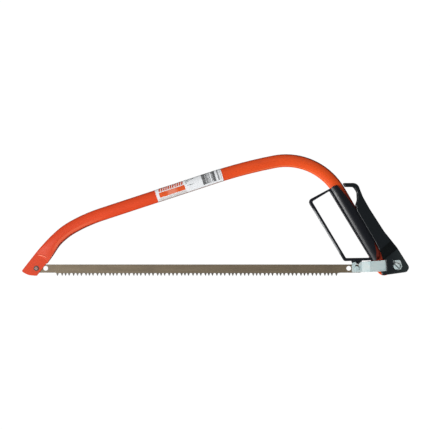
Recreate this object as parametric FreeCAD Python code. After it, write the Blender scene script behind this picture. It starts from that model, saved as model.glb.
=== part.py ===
"""A 530 mm bow saw: bent oval tube, peg-tooth blade, moulded grip with knuckle guard, and a tension lever.

Everything is drawn in millimetres with the front blade pin at (0, 0): X runs back along the blade, Z is up
and Y is across the saw.  Each piece is moved at the end so that the middle of the grip is the origin.
"""
import FreeCAD, Part
import math
import os

Vector = FreeCAD.Vector
ACROSS = Vector(0, 1, 0)

# Blade
BLADE_SPAN = 530.0               # end hole to end hole
BLADE_THICKNESS = 0.9
BLADE_BACK = 6.3                 # height of the back above the holes
BLADE_BELLY = -7.3               # lower edge of the plain ends
GULLET_DEPTH = -8.0
TOOTH_STUB = -9.0
TOOTH_TIP = -12.4
BLADE_OVERHANG = 7.0             # blade beyond each end hole
BLADE_CORNER_RADIUS = 2.5
GULLET_RADIUS = 0.45
GULLET_EASE = 0.35               # how far each gullet's corner stands off the tooth stub
FIRST_TOOTH = 35.0
TOOTH_COUNT = 71
TOOTH_SPACING = (7.7, 5.6, 5.9, 7.4, 6.5, 6.4)
TOOTH_HALF_WIDTH = 1.75          # at the stub
TOOTH_TIP_HALF_WIDTH = 0.35
TOOTH_SET = 0.35                 # alternate sideways lean of the tips
PIN_RADIUS = 3.0
SPARE_HOLE_RADIUS = 3.9
SPARE_HOLES = (15.4, 516.6)      # places along the blade of the open holes
RUNNING_CLEARANCE = 0.05
THROUGH = 30.0                   # half length of a tool that cuts right across the saw
CUT_MARGIN = 1.0                 # how far a cut that stops inside a piece runs past its surface

# Tube
TUBE_HALF_DEPTH = 10.6
TUBE_HALF_THICKNESS = 6.5
TUBE_END_RADIUS = 5.0
TUBE_WALL = 1.25
FLAT_HALF_DEPTH = 13.0           # the pressed ends
FLAT_HALF_THICKNESS = 2.0
FLAT_END_RADIUS = 1.95
PATH_START_X = -4.4
FRONT_HEADING = 52.0
FRONT_LEG = 47.9
FRONT_BENDS = ((120.0, 29.3), (264.0, 18.2))      # bend radius, heading after the bend
TOP_STRAIGHT = 194.0
REAR_BENDS = ((846.0, 11.1), (101.5, -59.5))
REAR_LEG = 147.6                 # from the end of the bend to the lever's pivot
FRONT_TAIL = 18.0                # flat beyond the start of the path, before it is trimmed
FRONT_FLAT = 23.0
FRONT_FLARE = 44.0
REAR_FLAT = 22.0
REAR_FLARE = 27.0
REAR_END_RADIUS = 12.7
FLARE_STEPS = 6
FRONT_PIN_STAND_OUT = 1.1        # beyond the tube's near face
FRONT_PIN_CHAMFER = 0.5
FRONT_PIN_HEAD_RADIUS = 5.5
FRONT_PIN_HEAD_THICKNESS = 1.5
FRONT_PIN_HEAD_FILLET = 0.8
RING_WIDTH = 1.3
RING_THICKNESS = 0.6

# Grip and knuckle guard
GRIP_WALL = 2.3
GRIP_GAP = 0.1
GRIP_BEND_COVER = 22.0           # how far the grip follows the bend above the leg
GUARD_HALF_WIDTH = 6.0
GUARD_EDGE_FILLET = 1.2
GUARD_LUG_HALF_WIDTH = 1.2
GRIP_MIDDLE = 80.0               # up the rear leg from the lever's pivot

# Label
LABEL_START = 242.5
LABEL_END = 356.5
LABEL_THICKNESS = 0.2
LABEL_GAP = 0.05

# Tension lever
LEVER_HALF_WIDTH = 10.5
CHANNEL_HALF_WIDTH = 7.4
CORE_HALF_WIDTH = 4.8
FRAME_SLOT_HALF_WIDTH = 2.3
LEVER_EDGE_FILLET = 1.8
LEVER_DISC_RADIUS = 13.0
LEVER_BOSS_RADIUS = 7.5          # round the pivot, beyond the lever's side view
FRAME_SLOT_RADIUS = 13.4
FRAME_SLOT_REACH = 60.0
LEVER_RECESS_DEPTH = 1.6
LINK_POCKET_RADIUS = 12.1
SCREW_WINDOW_RADIUS = 6.5
RIB_PLACES = (52.0, 70.0, 88.0)  # up the leg from the lever's pivot
RIB_HALF_THICKNESS = 0.9
RIB_START = -14.0                # behind the leg's centre line
LINK_PIVOT_OFFSET = (19.7, 2.7)  # from the lever's pivot, past the dead centre by about six degrees
PIVOT_RIVET_RADIUS = 3.0
PIVOT_BUSH_RADIUS = 4.5
RIVET_HEAD_RADIUS = 3.8
RIVET_HEAD_THICKNESS = 0.7
RIVET_SEAT_GAP = 0.1

# Tension link
LINK_PLATE_INNER = 5.1
LINK_PLATE_THICKNESS = 2.0
LINK_STEP_START = 539.0          # where the plates begin to spread, and where they are fully spread
LINK_STEP_END = 552.0
LINK_FOLD_SHIFT = 1.0            # how much sooner the outer face bends
LINK_WEB_OVERLAP = 0.5
LINK_WEB_LENGTH = 5.0            # beyond the spread
LINK_WEB_NOSE = 2.5              # how far inside the spread the web's narrow end is
LINK_WEB_TOP = -4.2
EAR_INNER = 1.5
STUD_SHANK_RADIUS = 1.7
STUD_HEAD_RADIUS = 3.8
STUD_HEAD_THICKNESS = 1.2
STUD_HEAD_FILLET = 0.9
STUD_GAP = 0.3
STUD_COLLAR_HALF_LENGTH = 1.2
SCREW_RADIUS = 2.5
SCREW_HEAD_RADIUS = 5.5
SCREW_HEAD_THICKNESS = 2.0
SCREW_HEAD_FILLET = 1.0
SCREW_SLOT_WIDTH = 1.5
SCREW_SLOT_DEPTH = 1.1
SCREW_SLOT_TURN = 45.0
SCREW_STAND_OUT = 0.4            # beyond the nut
LINK_BUSH_RADIUS = 4.0
LINK_BUSH_HALF_LENGTH = 7.4
NUT_ACROSS_FLATS = 8.0
NUT_THICKNESS = 2.6
NUT_CONE_EASE = (2.2, -0.5)      # the rounding cone's foot and top, against the nut's corner radius


# ---------------------------------------------------------------- helpers

def unit(vector):
    return vector / vector.Length


def place(x, z, y=0.0):
    return Vector(x, y, z)


def rounded_outline(corners):
    """A closed wire through (x, z, radius) corners, with a tangent arc at each corner that has a radius."""
    ends = []
    for index, (x, z, radius) in enumerate(corners):
        corner = place(x, z)
        before = corners[index - 1]
        after = corners[(index + 1) % len(corners)]
        back = unit(place(before[0], before[1]) - corner)
        ahead = unit(place(after[0], after[1]) - corner)
        if radius == 0:
            ends.append((corner, None, corner))
            continue
        half_angle = back.getAngle(ahead) / 2
        bisector = unit(back + ahead)
        reach = radius / math.tan(half_angle)
        middle = corner + bisector * (radius / math.sin(half_angle) - radius)
        ends.append((corner + back * reach, middle, corner + ahead * reach))
    edges = []
    for index, (arc_start, arc_middle, arc_end) in enumerate(ends):
        if arc_middle is not None:
            edges.append(Part.Arc(arc_start, arc_middle, arc_end).toShape())
        next_start = ends[(index + 1) % len(ends)][0]
        if (next_start - arc_end).Length > 1e-6:
            edges.append(Part.LineSegment(arc_end, next_start).toShape())
    return Part.Wire(edges)


def prism(corners, y_low, y_high):
    face = Part.Face(rounded_outline(corners))
    face.translate(Vector(0, y_low, 0))
    return face.extrude(Vector(0, y_high - y_low, 0))


def disc(centre, radius, y_low, y_high):
    return Part.makeCylinder(radius, y_high - y_low, Vector(centre.x, y_low, centre.z), ACROSS)


def mirrored(shape):
    return shape.mirror(Vector(0, 0, 0), ACROSS)


def both_sides(shape):
    return [shape, mirrored(shape)]


def fused(shapes):
    return shapes[0].fuse(shapes[1:])


def softened(solid, edges, radius):
    return solid.makeFillet(radius, edges)


def edges_on_plane(solid, y):
    """The edges of a prism that lie wholly in the plane at this y."""
    found = []
    for edge in solid.Edges:
        box = edge.BoundBox
        if abs(box.YMin - y) < 1e-4 and abs(box.YMax - y) < 1e-4:
            found.append(edge)
    return found


# ---------------------------------------------------------------- the bow's path

def heading_vector(heading):
    return Vector(math.cos(heading), 0, math.sin(heading))


def upper_side(heading):
    """The direction across the path, in the saw's plane, towards the outside of the bow."""
    return Vector(-math.sin(heading), 0, math.cos(heading))


def walk_path():
    """The bow's centre line: (start station, start point, start heading, length, bend radius or None)."""
    legs = [(FRONT_LEG, None, 0.0)]
    heading = FRONT_HEADING
    for group, straight in ((FRONT_BENDS, TOP_STRAIGHT), (REAR_BENDS, REAR_LEG)):
        for radius, next_heading in group:
            turn = math.radians(heading - next_heading)
            legs.append((radius * turn, radius, turn))
            heading = next_heading
        legs.append((straight, None, 0.0))
    station = 0.0
    point = Vector(PATH_START_X, 0, 0)
    heading = math.radians(FRONT_HEADING)
    walked = []
    for length, radius, turn in legs:
        walked.append((station, point, heading, length, radius))
        if radius is None:
            point = point + heading_vector(heading) * length
        else:
            centre = point - upper_side(heading) * radius
            point = centre + upper_side(heading - turn) * radius
        heading -= turn
        station += length
    return walked, station, point, heading


PATH, PATH_LENGTH, LEVER_PIVOT, REAR_HEADING = walk_path()
LEG_UP = heading_vector(REAR_HEADING) * -1
LEG_FRONT = upper_side(REAR_HEADING) * -1
LINK_PIVOT = LEVER_PIVOT + place(*LINK_PIVOT_OFFSET)
FRONT_PIN = place(0, 0)
REAR_STUD = place(BLADE_SPAN, 0)
ORIGIN = LEVER_PIVOT + LEG_UP * GRIP_MIDDLE


def on_path(station):
    """Point and heading at a distance along the path; the first and last stretches run on straight."""
    leg = PATH[0]
    for candidate in PATH:
        if station >= candidate[0]:
            leg = candidate
    start, point, heading, _, radius = leg
    along = station - start
    if radius is None:
        return point + heading_vector(heading) * along, heading
    centre = point - upper_side(heading) * radius
    turned = heading - along / radius
    return centre + upper_side(turned) * radius, turned


def section(station, half_depth, half_thickness, end_radius):
    """A four-arc oval across the path: two small arcs at its ends and two large ones along its sides."""
    centre, heading = on_path(station)
    up = upper_side(heading)
    end_centre = half_depth - end_radius
    squares = end_centre ** 2 + half_thickness ** 2 - end_radius ** 2
    side_radius = squares / (2 * (half_thickness - end_radius))
    side_centre = side_radius - half_thickness
    share = side_radius / (side_radius - end_radius)
    corner_depth = end_centre * share
    corner_side = side_centre * share - side_centre

    def at(depth, side):
        return centre + up * depth + ACROSS * side

    def side_edge(sign):
        start = at(corner_depth * sign, corner_side * sign)
        end = at(-corner_depth * sign, corner_side * sign)
        return Part.Arc(start, at(0, half_thickness * sign), end).toShape()

    def end_edge(sign):
        start = at(corner_depth * sign, -corner_side * sign)
        end = at(corner_depth * sign, corner_side * sign)
        return Part.Arc(start, at(half_depth * sign, 0), end).toShape()

    return Part.Wire([end_edge(1), side_edge(1), end_edge(-1), side_edge(-1)])


def tube_section(station, growth):
    return section(station, TUBE_HALF_DEPTH + growth, TUBE_HALF_THICKNESS + growth, TUBE_END_RADIUS + growth)


def flat_section(station, growth):
    return section(station, FLAT_HALF_DEPTH + growth, FLAT_HALF_THICKNESS + growth, FLAT_END_RADIUS + growth)


def flare_section(station, share, growth):
    """Between the pressed end (share 0) and the full tube (share 1): it swells fast at first, then levels."""
    swell = math.sin(share * math.pi / 2)
    spread = (1 - math.cos(share * math.pi)) / 2
    depth = FLAT_HALF_DEPTH + (TUBE_HALF_DEPTH - FLAT_HALF_DEPTH) * spread
    thickness = FLAT_HALF_THICKNESS + (TUBE_HALF_THICKNESS - FLAT_HALF_THICKNESS) * swell
    end_radius = FLAT_END_RADIUS + (TUBE_END_RADIUS - FLAT_END_RADIUS) * swell
    return section(station, depth + growth, thickness + growth, end_radius + growth)


def flare(flat_station, tube_station, growth):
    sections = []
    for step in range(FLARE_STEPS + 1):
        share = step / FLARE_STEPS
        station = flat_station + (tube_station - flat_station) * share
        sections.append(flare_section(station, share, growth))
    return Part.makeLoft(sections, True)


def extruded_section(wire, start, end):
    return Part.Face(wire).extrude(on_path(end)[0] - on_path(start)[0])


def tube_stretches(first, last, growth):
    """The full tube between two stations: one straight or bent solid for each leg of the path."""
    stretches = []
    for start, _, _, length, radius in PATH:
        low = max(first, start)
        high = min(last, start + length)
        if high <= low:
            continue
        wire = tube_section(low, growth)
        if radius is None:
            stretches.append(extruded_section(wire, low, high))
        else:
            point, heading = on_path(low)
            centre = point - upper_side(heading) * radius
            turn = math.degrees((high - low) / radius)
            stretches.append(Part.Face(wire).revolve(centre, ACROSS, turn))
    return stretches


def front_trim():
    """Outline of the front end: sheared at the bottom, and its inner fold cut away below a small step."""
    corners = [
        (-25.7, -4.6, 4.0),
        (-13.0, -11.4, 22.0),
        (0.7, -12.4, 0.8),
        (15.8, 7.1, 0.6),
        (22.0, 9.8, 0.0),
        (60.0, 42.0, 0.0),
        (11.7, 42.0, 0.0),
    ]
    return prism(corners, -THROUGH, THROUGH)


def bow_stretches(growth, with_tail):
    """The bow's solids from its trimmed front end to the lever's pivot, grown or shrunk evenly."""
    tube_start = FRONT_FLAT + FRONT_FLARE
    tube_end = PATH_LENGTH - REAR_FLAT - REAR_FLARE
    flat_end = PATH_LENGTH - REAR_FLAT
    front = extruded_section(flat_section(-FRONT_TAIL, growth), -FRONT_TAIL, FRONT_FLAT)
    front_flare = flare(FRONT_FLAT, tube_start, growth)
    rear_flare = flare(flat_end, tube_end, growth)
    pieces = [front.common(front_trim()), front_flare, rear_flare]
    pieces += tube_stretches(tube_start, tube_end, growth)
    if with_tail:
        pieces.append(extruded_section(flat_section(flat_end, growth), flat_end, PATH_LENGTH))
        tail_end = PATH_LENGTH + REAR_END_RADIUS
        tail = extruded_section(flat_section(PATH_LENGTH, growth), PATH_LENGTH, tail_end)
        pieces.append(tail.common(disc(LEVER_PIVOT, REAR_END_RADIUS + growth, -THROUGH, THROUGH)))
    return pieces


# ---------------------------------------------------------------- frame pieces

def frame_tube():
    tube = fused(bow_stretches(0, True)).cut(fused(bow_stretches(-TUBE_WALL, False)))
    slot_corners = [(-10.0, 8.6, 0), (40.0, 8.6, 0), (40.0, -20.0, 0), (-10.0, -20.0, 0)]
    half_slot = FLAT_HALF_THICKNESS - TUBE_WALL
    tube = tube.cut(prism(slot_corners, -half_slot, half_slot))
    tube = tube.cut(disc(FRONT_PIN, PIN_RADIUS, -THROUGH, THROUGH))
    return tube.cut(disc(LEVER_PIVOT, PIVOT_RIVET_RADIUS, -THROUGH, THROUGH))


def front_blade_pin():
    near_end = FLAT_HALF_THICKNESS + FRONT_PIN_STAND_OUT
    far_end = FLAT_HALF_THICKNESS + FRONT_PIN_HEAD_THICKNESS
    shank = disc(FRONT_PIN, PIN_RADIUS, -near_end, FLAT_HALF_THICKNESS)
    shank = shank.makeChamfer(FRONT_PIN_CHAMFER, edges_on_plane(shank, -near_end))
    head = disc(FRONT_PIN, FRONT_PIN_HEAD_RADIUS, FLAT_HALF_THICKNESS, far_end)
    head = softened(head, edges_on_plane(head, far_end), FRONT_PIN_HEAD_FILLET)
    return fused([shank, head])


def pin_retaining_ring():
    near_face = -FLAT_HALF_THICKNESS - RING_THICKNESS
    ring = disc(FRONT_PIN, PIN_RADIUS + RING_WIDTH, near_face, -FLAT_HALF_THICKNESS)
    return ring.cut(disc(FRONT_PIN, PIN_RADIUS, -THROUGH, THROUGH))


def grip_shell():
    """The saddle round the rear leg, with its oblique upper end and its open back."""
    start = PATH_LENGTH - REAR_LEG - GRIP_BEND_COVER
    outer = fused(tube_stretches(start, PATH_LENGTH, GRIP_WALL))
    side_view = [
        (551.0, 17.2, 0.0),
        (485.2, 128.9, 3.0),
        (488.5, 134.6, 4.0),
        (496.5, 138.6, 6.0),
        (512.0, 119.5, 30.0),
        (526.3, 100.2, 6.0),
        (558.0, 46.4, 20.0),
        (561.6, 28.0, 12.0),
        (561.8, 13.5, 1.5),
        (545.0, 12.2, 0.0),
    ]
    return outer.common(prism(side_view, -THROUGH, THROUGH))


def guard_strip():
    outer = [
        (489.5, 134.0, 0.0),
        (448.4, 111.9, 6.8),
        (508.9, 11.9, 4.0),
        (561.8, 13.5, 1.5),
        (561.8, 19.0, 0.0),
        (497.5, 128.0, 0.0),
    ]
    window = [
        (484.4, 127.6, 1.5),
        (455.9, 110.3, 2.2),
        (511.8, 16.9, 2.4),
        (551.3, 17.4, 1.2),
    ]
    strip = prism(outer, -GUARD_HALF_WIDTH, GUARD_HALF_WIDTH)
    strip = strip.cut(prism(window, -THROUGH, THROUGH))
    side_edges = edges_on_plane(strip, -GUARD_HALF_WIDTH) + edges_on_plane(strip, GUARD_HALF_WIDTH)
    return softened(strip, side_edges, GUARD_EDGE_FILLET)


def guard_lug():
    """The fin below the guard that steadies the blade's end between the link's ears."""
    side_view = [
        (520.5, 13.0, 0.0),
        (522.0, 8.4, 1.0),
        (525.5, 7.1, 1.0),
        (537.0, 7.1, 1.0),
        (538.5, 13.0, 0.0),
    ]
    return prism(side_view, -GUARD_LUG_HALF_WIDTH, GUARD_LUG_HALF_WIDTH)


def grip_and_guard():
    moulding = fused([grip_shell(), guard_strip(), guard_lug()])
    for stretch in bow_stretches(GRIP_GAP, True):
        moulding = moulding.cut(stretch)
    return moulding


def label():
    wrap = fused(tube_stretches(LABEL_START, LABEL_END, LABEL_GAP + LABEL_THICKNESS))
    return wrap.cut(fused(tube_stretches(LABEL_START - CUT_MARGIN, LABEL_END + CUT_MARGIN, LABEL_GAP)))


def lever_pivot_rivet():
    shank_end = CORE_HALF_WIDTH
    head_start = CORE_HALF_WIDTH - RIVET_HEAD_THICKNESS
    shank = disc(LEVER_PIVOT, PIVOT_RIVET_RADIUS, -shank_end, shank_end)
    heads = both_sides(disc(LEVER_PIVOT, RIVET_HEAD_RADIUS, head_start, shank_end))
    return fused([shank] + heads)


# ---------------------------------------------------------------- blade pieces

def blade_outline():
    """The blade's side view down to the tooth stubs, with a round gullet between each pair of teeth."""
    root = TOOTH_HALF_WIDTH + GULLET_EASE
    corners = [(-BLADE_OVERHANG, BLADE_BELLY, BLADE_CORNER_RADIUS)]
    corners.append((FIRST_TOOTH - root - 1.5, BLADE_BELLY, 1.0))
    for tooth in tooth_places():
        corners.append((tooth - root, GULLET_DEPTH, GULLET_RADIUS))
        corners.append((tooth - TOOTH_HALF_WIDTH, TOOTH_STUB, 0.0))
        corners.append((tooth + TOOTH_HALF_WIDTH, TOOTH_STUB, 0.0))
        corners.append((tooth + root, GULLET_DEPTH, GULLET_RADIUS))
    corners.append((tooth_places()[-1] + root + 5.0, BLADE_BELLY, 6.0))
    blade_end = BLADE_SPAN + BLADE_OVERHANG
    corners.append((blade_end, BLADE_BELLY, BLADE_CORNER_RADIUS))
    corners.append((blade_end, BLADE_BACK, BLADE_CORNER_RADIUS))
    corners.append((-BLADE_OVERHANG, BLADE_BACK, BLADE_CORNER_RADIUS))
    return corners


def tooth_places():
    places = []
    x = FIRST_TOOTH
    for index in range(TOOTH_COUNT):
        places.append(x)
        x += TOOTH_SPACING[index % len(TOOTH_SPACING)]
    return places


def tooth_rectangle(x, z, half_width, lean):
    half = BLADE_THICKNESS / 2
    points = [
        place(x - half_width, z, lean - half),
        place(x + half_width, z, lean - half),
        place(x + half_width, z, lean + half),
        place(x - half_width, z, lean + half),
    ]
    return Part.makePolygon(points + points[:1])


def tooth_point(x, lean):
    stub = tooth_rectangle(x, TOOTH_STUB, TOOTH_HALF_WIDTH, 0.0)
    tip = tooth_rectangle(x, TOOTH_TIP, TOOTH_TIP_HALF_WIDTH, lean)
    return Part.makeLoft([stub, tip], True, True)


def saw_blade():
    half = BLADE_THICKNESS / 2
    blade = prism(blade_outline(), -half, half)
    points = []
    for index, x in enumerate(tooth_places()):
        lean = TOOTH_SET if index % 2 else -TOOTH_SET
        points.append(tooth_point(x, lean))
    blade = blade.fuse(points)
    holes = [
        disc(FRONT_PIN, PIN_RADIUS + RUNNING_CLEARANCE, -THROUGH, THROUGH),
        disc(REAR_STUD, PIN_RADIUS, -THROUGH, THROUGH),
    ]
    holes += [disc(place(x, 0), SPARE_HOLE_RADIUS, -THROUGH, THROUGH) for x in SPARE_HOLES]
    return blade.cut(holes)


def blade_rear_stud():
    head_start = EAR_INNER + LINK_PLATE_THICKNESS + STUD_GAP
    head_end = head_start + STUD_HEAD_THICKNESS
    pieces = [disc(REAR_STUD, PIN_RADIUS, -STUD_COLLAR_HALF_LENGTH, STUD_COLLAR_HALF_LENGTH)]
    pieces.append(disc(REAR_STUD, STUD_SHANK_RADIUS, -head_end, head_end))
    head = disc(REAR_STUD, STUD_HEAD_RADIUS, head_start, head_end)
    head = softened(head, edges_on_plane(head, head_end), STUD_HEAD_FILLET)
    pieces += both_sides(head)
    return fused(pieces)


# ---------------------------------------------------------------- tension link

def link_side_view():
    return [
        (521.6, -7.0, 1.2),
        (521.6, 7.6, 0.5),
        (523.6, 9.9, 0.5),
        (528.0, 10.3, 0.3),
        (529.2, 7.4, 0.0),
        (532.8, 7.4, 0.0),
        (536.2, 10.4, 0.5),
        (594.5, 15.0, 9.0),
        (604.9, 15.9, 9.4),
        (604.9, -3.6, 9.4),
        (594.5, -4.0, 9.0),
    ]


def ear_slot():
    """The hook that drops over the stud: wide at its foot, where the stud shifts, and narrow at its neck."""
    corners = [
        (527.4, -2.4, 2.6),
        (527.4, 5.6, 2.2),
        (529.2, 6.6, 0.3),
        (529.2, 8.4, 0.0),
        (532.8, 8.4, 0.0),
        (532.8, 6.6, 0.3),
        (532.7, 5.6, 0.5),
        (532.7, -2.4, 2.6),
    ]
    return prism(corners, -THROUGH, THROUGH)


def upright(plan, z_low, z_high):
    """A prism with vertical walls, from (x, y) corners seen from above."""
    points = [Vector(x, y, z_low) for x, y in plan]
    face = Part.Face(Part.makePolygon(points + points[:1]))
    return face.extrude(Vector(0, 0, z_high - z_low))


def link_plate():
    """One side plate: seen from above it steps in from the lever's cheek to the blade."""
    front = LINK_STEP_START - THROUGH
    rear = LINK_STEP_END + 3 * THROUGH
    thick = LINK_PLATE_THICKNESS
    plan = [
        (front, EAR_INNER),
        (LINK_STEP_START, EAR_INNER),
        (LINK_STEP_END, LINK_PLATE_INNER),
        (rear, LINK_PLATE_INNER),
        (rear, LINK_PLATE_INNER + thick),
        (LINK_STEP_END - LINK_FOLD_SHIFT, LINK_PLATE_INNER + thick),
        (LINK_STEP_START - LINK_FOLD_SHIFT, EAR_INNER + thick),
        (front, EAR_INNER + thick),
    ]
    return upright(plan, -THROUGH, THROUGH)


def link_web():
    """The folded floor that joins the two plates where they spread."""
    wide = LINK_PLATE_INNER + LINK_WEB_OVERLAP
    narrow = EAR_INNER + 2 * LINK_WEB_OVERLAP
    nose = LINK_STEP_START + LINK_WEB_NOSE
    tail = LINK_STEP_END + LINK_WEB_LENGTH
    plan = [
        (nose, narrow),
        (LINK_STEP_END, wide),
        (tail, wide),
        (tail, -wide),
        (LINK_STEP_END, -wide),
        (nose, -narrow),
    ]
    return upright(plan, -THROUGH, LINK_WEB_TOP)


def tension_link():
    body = fused(both_sides(link_plate()) + [link_web()])
    link = body.common(prism(link_side_view(), -THROUGH, THROUGH))
    link = link.cut(ear_slot())
    return link.cut(disc(LINK_PIVOT, LINK_BUSH_RADIUS + RUNNING_CLEARANCE, -THROUGH, THROUGH))


# ---------------------------------------------------------------- tension lever

def lever_side_view():
    return [
        (510.3, 134.4, 1.0),
        (506.2, 141.0, 1.6),
        (530.5, 141.0, 11.0),
        (539.2, 118.5, 25.0),
        (549.8, 99.6, 60.0),
        (574.4, 61.2, 40.0),
        (596.0, 34.2, 6.0),
        (616.6, 1.2, 7.0),
        (611.4, -6.0, 5.0),
        (571.4, -11.6, 1.5),
        (569.6, -5.4, 1.0),
        (577.8, -4.6, 0.8),
        (577.6, 3.0, 20.0),
        (576.2, 14.8, 0.8),
        (571.6, 14.8, 1.5),
        (569.9, 23.5, 10.0),
        (563.4, 36.2, 20.0),
        (558.9, 44.8, 12.0),
        (529.5, 94.6, 6.0),
        (527.8, 104.8, 2.2),
        (530.3, 113.0, 12.0),
        (529.6, 126.0, 9.0),
        (524.0, 134.4, 5.0),
    ]


def lever_channel():
    """The hollow between the lever's side cheeks, open towards the tube."""
    tube_back = -TUBE_HALF_DEPTH - 0.6
    along_leg = [(14, 22), (125, 22), (125, tube_back), (110, tube_back)]
    points = [LEVER_PIVOT + LEG_UP * up + LEG_FRONT * front for up, front in along_leg]
    return [(point.x, point.z, 0.0) for point in points] + [
        (536.0, 100.5, 2.0),
        (545.6, 99.0, 3.0),
        (571.0, 60.8, 20.0),
        (587.4, 40.4, 5.0),
        (592.4, 31.0, 3.0),
        (577.0, 16.6, 2.0),
        (570.5, 15.2, 0.0),
    ]


def lever_recess():
    """The sunk diagonal band on each side, between the handle panel and the base."""
    return [(560.0, 23.8, 0.0), (592.0, 50.9, 0.0), (603.0, 37.0, 0.0), (570.0, 10.9, 0.0)]


def link_pocket():
    """Where the link's plates swing inside the lever, from closed to fully open."""
    corner = LINK_PIVOT + place(7.3, 5.1)
    far = corner + place(24.9, -31.3)
    below = place(552.0, -40.0)
    return [
        (552.0, 12.4, 0.0),
        (596.0, 15.8, 0.0),
        (corner.x, corner.z, 0.0),
        (far.x, far.z, 0.0),
        (below.x, below.z, 0.0),
    ]


def window_side_view():
    return [
        (587.6, 13.2, 1.5),
        (600.6, 14.0, 2.5),
        (604.4, 5.2, 8.0),
        (602.4, -3.2, 2.0),
        (595.0, -3.2, 4.0),
    ]


def frame_slot():
    """Where the tube's pressed end turns between the lever's inner cheeks."""
    near = FRAME_SLOT_RADIUS
    far = FRAME_SLOT_REACH
    corners = []
    for up, front in ((0, -near), (far, -near), (far, far), (-3, far)):
        point = LEVER_PIVOT + LEG_UP * up + LEG_FRONT * front
        corners.append((point.x, point.z, 0.0))
    half = FRAME_SLOT_HALF_WIDTH
    return fused([prism(corners, -half, half), disc(LEVER_PIVOT, near, -half, half)])


def lever_ribs():
    """Stiffening ribs across the handle's channel, behind the tube."""
    half = RIB_HALF_THICKNESS
    rib_end = RIB_START - 2 * THROUGH
    ribs = []
    for up in RIB_PLACES:
        foot = LEVER_PIVOT + LEG_UP * up
        corners = []
        for along, front in ((-half, RIB_START), (half, RIB_START), (half, rib_end), (-half, rib_end)):
            point = foot + LEG_UP * along + LEG_FRONT * front
            corners.append((point.x, point.z, 0.0))
        ribs.append(prism(corners, -CHANNEL_HALF_WIDTH, CHANNEL_HALF_WIDTH))
    return ribs


def tension_lever():
    body = prism(lever_side_view(), -LEVER_HALF_WIDTH, LEVER_HALF_WIDTH)
    side_edges = edges_on_plane(body, -LEVER_HALF_WIDTH) + edges_on_plane(body, LEVER_HALF_WIDTH)
    body = softened(body, side_edges, LEVER_EDGE_FILLET)
    outside = body.copy()
    hollow = prism(lever_channel(), -CHANNEL_HALF_WIDTH, CHANNEL_HALF_WIDTH)
    body = body.cut(hollow)
    body = fused([body] + [rib.common(outside).common(hollow) for rib in lever_ribs()])
    cheek = disc(LEVER_PIVOT, LEVER_DISC_RADIUS, -CORE_HALF_WIDTH, CORE_HALF_WIDTH).common(outside)
    body = fused([body, cheek, disc(LEVER_PIVOT, LEVER_BOSS_RADIUS, -CORE_HALF_WIDTH, CORE_HALF_WIDTH)])
    recess = prism(lever_recess(), LEVER_HALF_WIDTH - LEVER_RECESS_DEPTH, LEVER_HALF_WIDTH + CUT_MARGIN)
    pocket = prism(link_pocket(), CORE_HALF_WIDTH, CHANNEL_HALF_WIDTH)
    pocket = pocket.fuse(disc(LINK_PIVOT, LINK_POCKET_RADIUS, CORE_HALF_WIDTH, CHANNEL_HALF_WIDTH))
    window_floor = CHANNEL_HALF_WIDTH - CUT_MARGIN
    window_top = LEVER_HALF_WIDTH + CUT_MARGIN
    window = prism(window_side_view(), window_floor, window_top)
    window = window.fuse(disc(LINK_PIVOT, SCREW_WINDOW_RADIUS, window_floor, window_top))
    for tool in (recess, pocket, window):
        for side in both_sides(tool):
            body = body.cut(side)
    body = body.cut(frame_slot())
    body = body.cut(disc(LEVER_PIVOT, PIVOT_BUSH_RADIUS, -CORE_HALF_WIDTH, CORE_HALF_WIDTH))
    body = body.cut(disc(LINK_PIVOT, LINK_BUSH_RADIUS, -CORE_HALF_WIDTH, CORE_HALF_WIDTH))
    return body.removeSplitter()


def lever_pivot_bush():
    """Two steel rings, one in each inner cheek; the rivet's heads sit in their counterbores."""
    ring = disc(LEVER_PIVOT, PIVOT_BUSH_RADIUS, FRAME_SLOT_HALF_WIDTH, CORE_HALF_WIDTH)
    ring = ring.cut(disc(LEVER_PIVOT, PIVOT_RIVET_RADIUS + RUNNING_CLEARANCE, 0, CORE_HALF_WIDTH))
    seat = CORE_HALF_WIDTH - RIVET_HEAD_THICKNESS - RIVET_SEAT_GAP
    ring = ring.cut(disc(LEVER_PIVOT, RIVET_HEAD_RADIUS + RUNNING_CLEARANCE, seat, CORE_HALF_WIDTH))
    return Part.makeCompound(both_sides(ring))


def link_bush():
    sleeve = disc(LINK_PIVOT, LINK_BUSH_RADIUS, -LINK_BUSH_HALF_LENGTH, LINK_BUSH_HALF_LENGTH)
    return sleeve.cut(disc(LINK_PIVOT, SCREW_RADIUS, -LINK_BUSH_HALF_LENGTH, LINK_BUSH_HALF_LENGTH))


def link_screw():
    head_top = -LINK_BUSH_HALF_LENGTH - SCREW_HEAD_THICKNESS
    head = disc(LINK_PIVOT, SCREW_HEAD_RADIUS, head_top, -LINK_BUSH_HALF_LENGTH)
    head = softened(head, edges_on_plane(head, head_top), SCREW_HEAD_FILLET)
    slot_corner = Vector(-THROUGH, -CUT_MARGIN, -SCREW_SLOT_WIDTH / 2)
    slot = Part.makeBox(2 * THROUGH, SCREW_SLOT_DEPTH + CUT_MARGIN, SCREW_SLOT_WIDTH, slot_corner)
    slot.rotate(Vector(0, 0, 0), ACROSS, SCREW_SLOT_TURN)
    slot.translate(place(LINK_PIVOT.x, LINK_PIVOT.z, head_top))
    shank_end = LINK_BUSH_HALF_LENGTH + NUT_THICKNESS + SCREW_STAND_OUT
    shank = disc(LINK_PIVOT, SCREW_RADIUS, -LINK_BUSH_HALF_LENGTH, shank_end)
    return fused([head.cut(slot), shank])


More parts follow.
